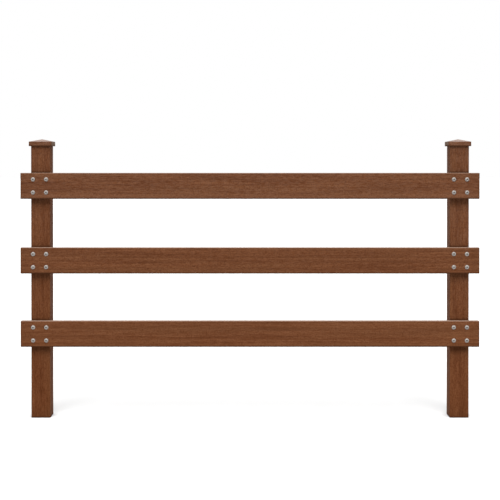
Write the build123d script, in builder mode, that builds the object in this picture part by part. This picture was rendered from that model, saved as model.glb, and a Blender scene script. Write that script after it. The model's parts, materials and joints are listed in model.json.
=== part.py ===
"""Three-rail fence panel: two capped square posts with boards bolted across their front faces.

The origin is the centre of the left post's foot. +X runs along the rails to the right post, +Y points
away from the side that carries the rails, and +Z is up. Sizes are in millimetres.
"""

import os

from build123d import *

# Posts: square timbers that stand on the ground
post_side = 100.0
post_height = 1440.0
post_spacing = 2200.0
post_arris = 3.0

# Caps: square plates with a rim, a socket over the post's head and a low pyramid that sheds rain
cap_overhang = 10.0
cap_rim_height = 23.5
cap_rise = 13.5
cap_corner = 2.0
cap_arris = 1.0
cap_socket_depth = 12.0
cap_socket_clearance = 0.5

# Rails: planed boards across the front faces of both posts
rail_height = 136.0
rail_thickness = 32.0
rail_overrun = 50.0
rail_ground_gap = 377.0
rail_lower_gap = 248.0
rail_upper_gap = 254.5
rail_arris = 3.0
rail_end_chamfer = 2.0

# Bolts: four at each crossing, in a clearance hole in the rail and a blind pilot hole in the post
bolt_spacing_across = 68.5
bolt_spacing_up = 68.5
bolt_hole_diameter = 13.0
pilot_diameter = 9.0
pilot_depth = 70.0

post_front = post_side / 2
rail_front = post_front + rail_thickness
rail_length = post_spacing + post_side + 2 * rail_overrun
bottom_level = rail_ground_gap + rail_height / 2
middle_level = bottom_level + rail_height + rail_lower_gap
top_level = middle_level + rail_height + rail_upper_gap
cap_underside = post_height - cap_socket_depth
cap_rim_top = cap_underside + cap_rim_height
cap_side = post_side + 2 * cap_overhang
socket_side = post_side + 2 * cap_socket_clearance

post_places = {"left": 0.0, "right": post_spacing}
rail_levels = {"bottom": bottom_level, "middle": middle_level, "top": top_level}


def crossing(x, face, z):
    """A plane on an upright face at the crossing of a rail and a post, looking out of the face."""
    return Plane(origin=(x, -face, z), x_dir=(1, 0, 0), z_dir=(0, -1, 0))


os.makedirs("parts", exist_ok=True)

# Posts, with their upright arrises eased and a blind pilot hole for every bolt
for side, x in post_places.items():
    with BuildPart() as post:
        with BuildSketch(Plane((x, 0, 0))):
            Rectangle(post_side, post_side)
        extrude(amount=post_height)
        fillet(post.edges().filter_by(Axis.Z), radius=post_arris)
        with Locations([crossing(x, post_front, z) for z in rail_levels.values()]):
            with GridLocations(bolt_spacing_across, bolt_spacing_up, 2, 2):
                Hole(radius=pilot_diameter / 2, depth=pilot_depth)
    post.part.label = f"{side}_post"
    export_step(post.part, f"parts/{side}_post.step")

# Caps: the rim drops over the post's head, and the four slopes meet in a point
for side, x in post_places.items():
    with BuildPart() as cap:
        with BuildSketch(Plane((x, 0, cap_underside))):
            RectangleRounded(cap_side, cap_side, cap_corner)
        extrude(amount=cap_rim_height)
        fillet(cap.edges().group_by(Axis.Z)[0], radius=cap_arris)
        with BuildSketch(Plane((x, 0, cap_rim_top)), mode=Mode.PRIVATE) as eaves:
            RectangleRounded(cap_side, cap_side, cap_corner)
        loft(sections=[eaves.sketch.face(), Vertex(x, 0, cap_rim_top + cap_rise)])
        with BuildSketch(Plane((x, 0, cap_underside))):
            Rectangle(socket_side, socket_side)
        extrude(amount=cap_socket_depth, mode=Mode.SUBTRACT)
    cap.part.label = f"{side}_post_cap"
    export_step(cap.part, f"parts/{side}_post_cap.step")

# Rails, with their long arrises rounded, their sawn ends eased and a clearance hole for every bolt
for level, z in rail_levels.items():
    with BuildPart() as rail:
        with BuildSketch(crossing(post_spacing / 2, post_front, z)):
            Rectangle(rail_length, rail_height)
        extrude(amount=rail_thickness)
        fillet(rail.edges().filter_by(Axis.X), radius=rail_arris)
        ends = rail.faces().sort_by(Axis.X)
        chamfer(ends[0].edges() + ends[-1].edges(), length=rail_end_chamfer)
        with Locations([crossing(x, rail_front, z) for x in post_places.values()]):
            with GridLocations(bolt_spacing_across, bolt_spacing_up, 2, 2):
                Hole(radius=bolt_hole_diameter / 2, depth=rail_thickness)
    rail.part.label = f"{level}_rail"
    export_step(rail.part, f"parts/{level}_rail.step")
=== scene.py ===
import json
import math

import bmesh
import bpy
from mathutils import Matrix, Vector


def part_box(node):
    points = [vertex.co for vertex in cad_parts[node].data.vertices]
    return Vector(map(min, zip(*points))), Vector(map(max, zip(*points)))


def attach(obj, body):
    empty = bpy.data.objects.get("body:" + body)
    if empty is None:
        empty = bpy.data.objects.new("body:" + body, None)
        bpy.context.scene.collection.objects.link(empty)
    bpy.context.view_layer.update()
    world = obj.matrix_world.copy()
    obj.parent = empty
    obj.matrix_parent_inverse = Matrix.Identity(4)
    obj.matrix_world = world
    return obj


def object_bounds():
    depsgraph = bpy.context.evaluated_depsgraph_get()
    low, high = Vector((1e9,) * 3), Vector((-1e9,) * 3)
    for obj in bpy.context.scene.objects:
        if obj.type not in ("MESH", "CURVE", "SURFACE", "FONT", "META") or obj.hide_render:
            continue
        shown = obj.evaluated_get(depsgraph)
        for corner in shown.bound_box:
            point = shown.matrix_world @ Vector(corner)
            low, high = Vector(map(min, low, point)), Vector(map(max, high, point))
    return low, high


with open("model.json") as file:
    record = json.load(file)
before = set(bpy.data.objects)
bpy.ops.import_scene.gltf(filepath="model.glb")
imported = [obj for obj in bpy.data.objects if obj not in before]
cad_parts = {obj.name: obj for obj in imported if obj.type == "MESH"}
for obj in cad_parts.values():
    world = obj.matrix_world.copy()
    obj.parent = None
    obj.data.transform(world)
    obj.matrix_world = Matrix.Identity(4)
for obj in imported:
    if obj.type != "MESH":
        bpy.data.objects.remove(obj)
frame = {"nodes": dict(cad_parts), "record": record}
cad_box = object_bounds()

# Posts
# Two square sawn timbers, planed and stained a warm brown, with the grain upright. They stand on their
# sawn feet, and everything else on the panel is screwed to them or sits on their heads.
posts = ("left_post", "right_post")
rails = ("top_rail", "middle_rail", "bottom_rail")
# Colour of soaked end grain, also used for the painted shade line at each end
end_soak_and_shade = (0.036, 0.0135, 0.0055)
# Pale top colour: weather bleach together with painted sheen and top light
bleached_and_sheen_top = (0.200, 0.136, 0.103)


class Shade:
    """A socket in a finish's node tree. Operators add Math nodes, and node() adds any other kind."""

    def __init__(self, tree, socket=None):
        self.tree = tree
        self.socket = socket

    def node(self, kind, settings=None, sockets=None, out=0):
        """A new node of a kind, with its settings made first, then its sockets set or linked."""
        made = self.tree.nodes.new("ShaderNode" + kind)
        for name, value in (settings or {}).items():
            if name == "stops":
                for place, colour in value[2:]:
                    made.color_ramp.elements.new(place)
                for element, (place, colour) in zip(made.color_ramp.elements, value):
                    element.position = place
                    element.color = (*colour, 1.0)
            else:
                setattr(made, name, value)
        for name, value in (sockets or {}).items():
            if isinstance(value, Shade):
                self.tree.links.new(value.socket, made.inputs[name])
            else:
                made.inputs[name].default_value = value
        return Shade(self.tree, made.outputs[out] if made.outputs else None)

    def math(self, operation, *values):
        return self.node("Math", {"operation": operation}, dict(enumerate(values)))

    def vector(self, operation, other=(0.0, 0.0, 0.0), out=0):
        return self.node("VectorMath", {"operation": operation}, {0: self, 1: other}, out)

    def part(self, axis):
        """This vector's share along X, Y or Z."""
        return self.node("SeparateXYZ", sockets={0: self}, out=axis)

    def rise(self, low, high):
        """0 below low, 1 above high and smooth between. The two may be given high to low."""
        return self.node(
            "MapRange",
            {"interpolation_type": "SMOOTHSTEP"},
            {"Value": self, "From Min": low, "From Max": high},
        )

    def blend(self, stain, share):
        """This colour with a share of a stain mixed in."""
        return self.node("Mix", {"data_type": "RGBA"}, {0: share, 6: self, 7: (*stain, 1.0)}, out=2)

    def __add__(self, other):
        return self.math("ADD", self, other)

    def __radd__(self, other):
        return self.math("ADD", other, self)

    def __sub__(self, other):
        return self.math("SUBTRACT", self, other)

    def __rsub__(self, other):
        return self.math("SUBTRACT", other, self)

    def __mul__(self, other):
        return self.math("MULTIPLY", self, other)

    def __rmul__(self, other):
        return self.math("MULTIPLY", other, self)

    def __abs__(self):
        return self.math("ABSOLUTE", self)


def new_finish(name):
    """An empty material, and a shade that starts its nodes from Object coordinates."""
    finish = bpy.data.materials.new(name)
    finish.use_nodes = True
    finish.node_tree.nodes.clear()
    return finish, Shade(finish.node_tree).node("TexCoord", out="Object")


def painted_corner_shade(place, post, rail):
    """Painted shade: 1 in the corner where a rail's top meets a post's front, and 0 a finger's width from
    it.
    """
    shade_reach = 0.014
    shade_core = 0.002
    spread_on_rail = (1.0, 0.6, 1.0)
    post_low, post_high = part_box(post)
    rail_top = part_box(rail)[1].z
    corner = Vector(((post_low.x + post_high.x) / 2, post_low.y, rail_top))
    half_width = Vector(((post_high.x - post_low.x) / 2, 0.0, 0.0))
    away = place.vector("SUBTRACT", corner).vector("ABSOLUTE").vector("SUBTRACT", half_width)
    away = away.vector("MAXIMUM").vector("MULTIPLY", spread_on_rail)
    return away.vector("LENGTH", out="Value").rise(shade_reach, shade_core)


def timber(node, grain, in_log, lightness, fading, figure, top=bleached_and_sheen_top, cut_end=end_soak_and_shade):
    """Stained solid timber for one node, whose middle lay at in_log in the log it was cut from."""
    dark_stain = (0.044, 0.0114, 0.0025)
    brown_stain = (0.0865, 0.0293, 0.0108)
    light_stain = (0.126, 0.0485, 0.0198)
    sap_stain = (0.121, 0.0485, 0.0217)
    olive_stain = (0.085, 0.0345, 0.0140)
    # Painted shade colour, used on undersides, lower edges and corners
    painted_shade_stain = (0.030, 0.0100, 0.0035)
    # Paler colour the stain takes higher up: fading, and painted light from above
    faded_and_lit_stain = (0.16, 0.13, 0.11)
    worn_edge = (0.16, 0.08, 0.044)

    finish, place = new_finish(node + "_timber")
    low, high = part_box(node)
    half = (high - low) / 2
    from_middle = place.vector("SUBTRACT", (low + high) / 2)
    up = place.part("Z")

    # The log's own axes: its pith is the line of X and Y zero, and its grain is drawn out along Z
    grain_stretch = 0.06
    along = Vector([1.0 if axis == grain else 0.0 for axis in "xyz"])
    turn = (0.0, -math.pi / 2, 0.0) if grain == "x" else (0.0, 0.0, 0.0)
    log = place.node(
        "Mapping",
        sockets={
            "Vector": from_middle,
            "Location": in_log,
            "Rotation": turn,
            "Scale": Vector((1.0, 1.0, 1.0)) - along * (1.0 - grain_stretch),
        },
    )

    def pattern(per_metre, detail, shortness=1.0):
        """Noise in the log. A shortness over 1 breaks up its streaks, and one under 1 draws them out."""
        drawn = log.vector("MULTIPLY", (1.0, 1.0, shortness))
        return log.node("TexNoise", sockets={"Vector": drawn, "Scale": per_metre, "Detail": detail})

    mottle = pattern(per_metre=9.0, detail=2.0)
    tone = pattern(per_metre=17.0, detail=2.0)
    streak = pattern(per_metre=95.0, detail=4.0, shortness=0.6)
    fleck = pattern(per_metre=220.0, detail=2.0, shortness=2.6)
    speck = pattern(per_metre=260.0, detail=1.0, shortness=9.0)
    fibre = pattern(per_metre=520.0, detail=3.0)
    pore = pattern(per_metre=1100.0, detail=1.0).rise(0.62, 0.70)

    # At a scale of 1 this texture's rings lie a tenth of pi apart
    ring_width = 0.007
    rings = log.node(
        "TexWave",
        {"wave_type": "RINGS", "rings_direction": "Z", "wave_profile": "SAW"},
        {
            "Vector": log,
            "Scale": math.pi / 10 / ring_width,
            "Distortion": 7.0,
            "Detail": 2.0,
            "Detail Scale": 0.35,
        },
        out="Fac",
    )

    # How light the stained timber is from place to place, between the dark and the light stain
    mottle_swing = 0.34
    streak_swing = 0.48
    fleck_swing = 0.36
    fibre_swing = 0.4
    ring_swing = 0.12
    figured = mottle_swing * (mottle - 0.5) + streak_swing * (streak - 0.5) + fleck_swing * (fleck - 0.5)
    light = lightness + figure * figured + fibre_swing * (fibre - 0.5) + ring_swing * (rings - 0.5)
    colour = log.node(
        "ValToRGB",
        {"stops": [(0.25, dark_stain), (0.5, brown_stain), (0.75, light_stain)]},
        {"Fac": light},
    )

    # Sapwood in the outer log, olive patches, and dark pores and specks
    heart_radius = 0.14
    sap_radius = 0.19
    sap_waver = 0.06
    sap_share = 0.72
    olive_share = 0.3
    pore_share = 0.55
    speck_share = 0.7
    radius = log.vector("MULTIPLY", (1.0, 1.0, 0.0)).vector("LENGTH", out="Value")
    sapwood = (radius + sap_waver * (streak - 0.5)).rise(heart_radius, sap_radius)
    colour = colour.blend(sap_stain, sapwood * sap_share)
    colour = colour.blend(olive_stain, tone.rise(0.42, 0.68) * olive_share)
    colour = colour.blend(dark_stain, pore * pore_share)
    colour = colour.blend(dark_stain, speck.rise(0.42, 0.78) * speck_share)

    # Weather and painted light: the stain fades and pales with height, partly painted light from above;
    # tops are bleached and carry painted sheen; undersides get painted shade
    fade_from = 0.1
    fade_to = 1.5
    underside_shade_share = 0.7
    patchy = 0.4 + 1.2 * fleck.rise(0.35, 0.65)
    # Painted light: the stain grows paler with height, as fading and as light falling from above
    colour = colour.blend(faded_and_lit_stain, up.rise(fade_from, fade_to) * fading * patchy)
    normal = log.node("NewGeometry", out="True Normal")
    tilt = normal.vector("DOT_PRODUCT", (0.0, 0.0, 1.0), out="Value")
    bleach_and_sheen = 0.30 + 0.75 * fleck + 0.45 * fibre
    # Up-facing faces: weather bleach with painted sheen and painted top light
    colour = colour.blend(top, tilt.rise(0.15, 0.8) * bleach_and_sheen)
    # Painted shade on faces that face down
    colour = colour.blend(painted_shade_stain, tilt.rise(-0.15, -0.8) * underside_shade_share)
    end_grain = abs(normal.vector("DOT_PRODUCT", along, out="Value")).rise(0.6, 0.95)
    colour = colour.blend(cut_end, end_grain * (0.25 + 0.65 * rings))

    # Edges: arrises wear a little and the ends soak up stain; painted shade darkens the lower edge, a thin
    # line at each end and the corners where rails meet posts
    wear_reach = 0.0045
    wear_core = 0.0005
    wear_share = 0.05
    lower_shade_reach = 0.010
    lower_shade_core = 0.003
    lower_shade_share = 0.72
    soak_reach = 0.09
    soak_share = 0.12
    end_line_reach = 0.008
    end_line_core = 0.002
    end_line_share = 0.35
    grime_and_shade_share = 0.62
    outward = from_middle.vector("ABSOLUTE")
    inward = log.node("VectorMath", {"operation": "SUBTRACT"}, {0: half, 1: outward})
    gaps = {axis: inward.part(axis.upper()) for axis in "xyz"}
    nearest = inward.math("MINIMUM", gaps["x"], inward.math("MINIMUM", gaps["y"], gaps["z"]))
    farthest = inward.math("MAXIMUM", gaps["x"], inward.math("MAXIMUM", gaps["y"], gaps["z"]))
    edge_gap = gaps["x"] + gaps["y"] + gaps["z"] - nearest - farthest
    wear = edge_gap.rise(wear_reach, wear_core) * streak.rise(0.35, 0.65)
    colour = colour.blend(worn_edge, wear * wear_share)
    # Painted shade along the lowest centimetre of each piece
    lower_edge_shade = (up - low.z).rise(lower_shade_reach, lower_shade_core)
    colour = colour.blend(painted_shade_stain, lower_edge_shade * lower_shade_share)
    end_gap = gaps[grain]
    # Stain soaked into the ends, with a line of painted shade right at each end
    soak_and_end_shade = soak_share * end_gap.rise(soak_reach, 0.0)
    soak_and_end_shade = soak_and_end_shade + end_line_share * end_gap.rise(end_line_reach, end_line_core)
    colour = colour.blend(end_soak_and_shade, soak_and_end_shade)
    # Painted shade in the corners where a rail's top meets a post's front
    for post in posts:
        for rail in rails:
            if node in (post, rail):
                colour = colour.blend(painted_shade_stain, painted_corner_shade(place, post, rail) * grime_and_shade_share)

    # A satin skin, rougher in its pores and on its ends, with the fibres just raised
    roughness = 0.6 + 0.12 * fibre + 0.15 * pore + 0.1 * end_grain
    relief = 0.5 * fibre + 0.25 * rings - 0.7 * pore
    bump = log.node("Bump", sockets={"Strength": 0.35, "Distance": 0.0006, "Height": relief})
    skin = log.node(
        "BsdfPrincipled",
        sockets={
            "Base Color": colour,
            "Roughness": roughness,
            "Normal": bump,
            "Specular IOR Level": 0.025,
        },
    )
    skin.node("OutputMaterial", sockets={"Surface": skin})
    return finish


def stain(node, **wood):
    """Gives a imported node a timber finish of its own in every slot."""
    finish = timber(node, **wood)
    for slot in frame["nodes"][node].material_slots:
        slot.material = finish


stain("left_post", grain="z", in_log=(0.045, 0.060, 0.0432), lightness=0.515, fading=0.04, figure=1.15)
stain("right_post", grain="z", in_log=(-0.060, 0.075, 0.3532), lightness=0.533, fading=0.06, figure=1.1)

# Caps
# A square block on each post's head, with an upright rim that hangs past the post and four shallow
# slopes that shed rain. It is cut from the same timber. Its slopes and sawn ends are pale grey, partly
# weathered and partly painted sheen.
# Painted sheen: these grey top and end colours stand in for reflection of the surround as well as
# weathering
grey_cap = {"grain": "x", "top": (0.20, 0.153, 0.134), "cut_end": (0.245, 0.200, 0.158)}
stain("left_post_cap", in_log=(0.1035, 0.11, 0.2), lightness=0.556, fading=0.1, figure=1.6, **grey_cap)
stain("right_post_cap", in_log=(0.1335, 0.13, 0.832), lightness=0.542, fading=0.11, figure=1.9, **grey_cap)

# Rails
# Three planed boards, stained before they were put up, with the grain along them. Each lies against the
# front faces of both posts and runs half a post's width past them.
stain("top_rail", grain="x", in_log=(0.1105, 0.094, 0.166), lightness=0.566, fading=0.06, figure=1.2)
stain("middle_rail", grain="x", in_log=(-0.029, 0.134, 0.566), lightness=0.522, fading=0.05, figure=1.1)
stain("bottom_rail", grain="x", in_log=(0.005, 0.154, 0.966), lightness=0.575, fading=0.09, figure=0.95)

# Bolts
# Four stainless button-head screws with a hexagon socket draw each rail onto each post. They pass through
# the rail with clearance and bite into a pilot hole in the post. Their spacing is the record's, in metres.
bolt_patterns = [mount["dims"] for mount in frame["record"]["mounts"] if mount["kind"] == "bolt_pattern"]
spacing_across = bolt_patterns[0]["spacing_x_mm"] / 1000
spacing_up = bolt_patterns[0]["spacing_y_mm"] / 1000


def dull_steel():
    """Turned stainless steel gone dull outdoors, finely scratched, with grime in the socket."""
    steel = (0.35, 0.327, 0.308)
    clouded_steel = [0.86 * channel for channel in steel]
    grime = (0.05, 0.045, 0.04)
    grime_and_shade_share = 0.25
    finish, place = new_finish("bolt_steel")
    scratch = place.node("TexNoise", sockets={"Vector": place, "Scale": 2600.0, "Detail": 2.0})
    cloud = place.node("TexNoise", sockets={"Vector": place, "Scale": 240.0, "Detail": 3.0})
    recess = place.node("Attribute", {"attribute_name": "recess"}, out="Fac")
    colour = place.node("ValToRGB", {"stops": [(0.3, clouded_steel), (0.7, steel)]}, {"Fac": cloud})
    colour = colour.blend(grime, recess * grime_and_shade_share)
    roughness = 0.66 + 0.12 * scratch + 0.1 * cloud + 0.1 * recess
    bump = place.node("Bump", sockets={"Strength": 0.15, "Distance": 0.0001, "Height": scratch})
    skin = place.node(
        "BsdfPrincipled",
        sockets={"Base Color": colour, "Roughness": roughness, "Normal": bump, "Metallic": 1.0},
    )
    skin.node("OutputMaterial", sockets={"Surface": skin})
    return finish


def add_bolt(mesh, head_seat, shank_length, recess):
    """One screw, turned as a profile about its axis, with the socket then pressed to a hexagon."""
    head_radius = 0.0111
    head_height = 0.0056
    head_rim = 0.0008
    socket_radius = 0.0046
    socket_mouth = 0.0053
    socket_depth = 0.0038
    socket_chamfer = 0.0005
    drill_point = 0.001
    shank_radius = 0.006
    thread_radius = 0.0044
    thread_length = 0.058
    point_length = 0.006
    arc_steps = 7
    turn_steps = 36
    outward = Vector((0.0, -1.0, 0.0))
    sideways = Vector((1.0, 0.0, 0.0))

    # The dome is an arc from the socket's mouth to the head's rim
    rise = head_height - head_rim
    dome_centre = (head_rim + head_height) / 2 - (head_radius**2 - socket_mouth**2) / (2 * rise)
    dome_radius = math.hypot(head_radius, head_rim - dome_centre)
    first = math.atan2(head_height - dome_centre, socket_mouth)
    last = math.atan2(head_rim - dome_centre, head_radius)
    socket_floor = head_height - socket_depth
    socket_lip = head_height - socket_chamfer
    thread_end = shank_length + thread_length
    profile = [
        (0.0, socket_floor - drill_point),
        (socket_radius, socket_floor),
        (socket_radius, socket_lip),
    ]
    for step in range(arc_steps + 1):
        angle = first + (last - first) * step / arc_steps
        profile.append((dome_radius * math.cos(angle), dome_centre + dome_radius * math.sin(angle)))
    profile += [
        (head_radius, 0.0),
        (shank_radius, 0.0),
        (shank_radius, -shank_length),
        (thread_radius, -shank_length),
        (thread_radius, -thread_end),
        (0.0, -thread_end - point_length),
    ]
    points = [mesh.verts.new(head_seat + sideways * r + outward * h) for r, h in profile]
    edges = [mesh.edges.new(pair) for pair in zip(points, points[1:])]
    bmesh.ops.spin(
        mesh,
        geom=points + edges,
        cent=head_seat,
        axis=outward,
        angle=math.tau,
        steps=turn_steps,
        use_merge=True,
    )

    # Only the socket's own points lie above the seat and this near the axis
    facet = math.pi / 3
    just_outside = socket_radius * 1.01
    lip_grime = 0.4
    for corner in mesh.verts:
        offset = corner.co - head_seat
        height = offset.dot(outward)
        radial = offset - outward * height
        if height > 0.0 and radial.length < just_outside:
            corner[recess] = 1.0 if height < socket_lip - socket_chamfer else lip_grime
            if radial.length > socket_radius / 2:
                angle = math.atan2(radial.z, radial.x) % facet - facet / 2
                flat = socket_radius * math.cos(facet / 2) / math.cos(angle)
                corner.co = head_seat + outward * height + radial.normalized() * flat


def bolt_set(rail, post):
    """The four screws of one crossing, as one piece. Their plain shanks end at the rail's back."""
    weld_gap = 1e-6
    crease_angle = math.radians(35)
    low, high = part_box(rail)
    post_low, post_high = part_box(post)
    rail_thickness = high.y - low.y
    mesh = bmesh.new()
    recess = mesh.verts.layers.float.new("recess")
    for side in (-0.5, 0.5):
        for up in (-0.5, 0.5):
            x = (post_low.x + post_high.x) / 2 + side * spacing_across
            z = (low.z + high.z) / 2 + up * spacing_up
            add_bolt(mesh, Vector((x, low.y, z)), rail_thickness, recess)
    bmesh.ops.remove_doubles(mesh, verts=mesh.verts, dist=weld_gap)
    bmesh.ops.recalc_face_normals(mesh, faces=mesh.faces)
    for face in mesh.faces:
        face.smooth = True
    data = bpy.data.meshes.new(f"{rail}_{post}_bolts")
    mesh.to_mesh(data)
    mesh.free()
    data.set_sharp_from_angle(angle=crease_angle)
    data.materials.append(bolt_finish)
    bolts = bpy.data.objects.new(data.name, data)
    bpy.context.collection.objects.link(bolts)
    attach(bolts, "root")


bolt_finish = dull_steel()
for rail in rails:
    for post in posts:
        bolt_set(rail, post)

# Studio
# A plain pale floor under the feet, a white surround that glows overhead and on both sides, and one wide
# soft light above and in front of the panel, so that the boards throw soft shadows on the posts below them.
floor_half = 80.0
floor_drop = 0.0005
floor_paint = (0.50, 0.50, 0.50, 1.0)
white = (1.0, 1.0, 1.0, 1.0)
surround_glow = 0.22
overhead_glow = 3.0
side_glow = 1.55
backdrop_glow = 1.0
key_strength = 4.0
key_spread = math.radians(36.0)
key_elevation = math.radians(50.0)
panel_middle = (cad_box[0] + cad_box[1]) / 2

mesh = bmesh.new()
bmesh.ops.create_grid(mesh, x_segments=1, y_segments=1, size=floor_half)
bmesh.ops.translate(mesh, verts=mesh.verts, vec=(panel_middle.x, 0.0, -floor_drop))
floor_mesh = bpy.data.meshes.new("studio_floor")
mesh.to_mesh(floor_mesh)
mesh.free()
floor = bpy.data.objects.new("studio_floor", floor_mesh)
bpy.context.collection.objects.link(floor)
paint, place = new_finish("floor_paint")
matt = place.node(
    "BsdfPrincipled",
    sockets={"Base Color": floor_paint, "Roughness": 0.9, "Specular IOR Level": 0.0},
)
matt.node("OutputMaterial", sockets={"Surface": matt})
floor_mesh.materials.append(paint)

world = bpy.data.worlds.new("studio")
world.use_nodes = True
world.node_tree.nodes.clear()
bpy.context.scene.world = world
seen = Shade(world.node_tree).node("LightPath", out="Is Camera Ray")
toward = seen.node("TexCoord", out="Generated")
glow = surround_glow + overhead_glow * toward.part("Z").rise(0.5, 1.0)
glow = glow + side_glow * abs(toward.part("X")).rise(0.55, 0.95)
surround = seen.node("Background", sockets={"Color": white, "Strength": glow})
backdrop = seen.node("Background", sockets={"Color": white, "Strength": backdrop_glow})
shown = seen.node("MixShader", sockets={0: seen, 1: surround, 2: backdrop})
shown.node("OutputWorld", sockets={"Surface": shown})

key_data = bpy.data.lights.new("key_light", "SUN")
key_data.energy = key_strength
key_data.angle = key_spread
key = bpy.data.objects.new("key_light", key_data)
key.rotation_euler = (math.pi / 2 - key_elevation, 0.0, 0.0)
bpy.context.collection.objects.link(key)
bpy.context.scene.view_settings.view_transform = "Standard"

# Camera
# It stands square in front of the panel's middle at shoulder height and looks down by a hair. A small lens
# shift lowers the frame onto the panel and keeps the posts nearly parallel.
image_side = 500
focal_pixels = 1209.4
camera_height = 1.358
camera_distance = 6.4
camera_pitch = math.radians(0.5)
lens_shift = -0.16

camera_data = bpy.data.cameras.new("camera")
camera_data.lens = camera_data.sensor_width * focal_pixels / image_side
camera_data.shift_y = lens_shift
camera = bpy.data.objects.new("camera", camera_data)
camera.location = (panel_middle.x, -camera_distance, camera_height)
camera.rotation_euler = (math.pi / 2 - camera_pitch, 0.0, 0.0)
bpy.context.collection.objects.link(camera)
bpy.context.scene.camera = camera
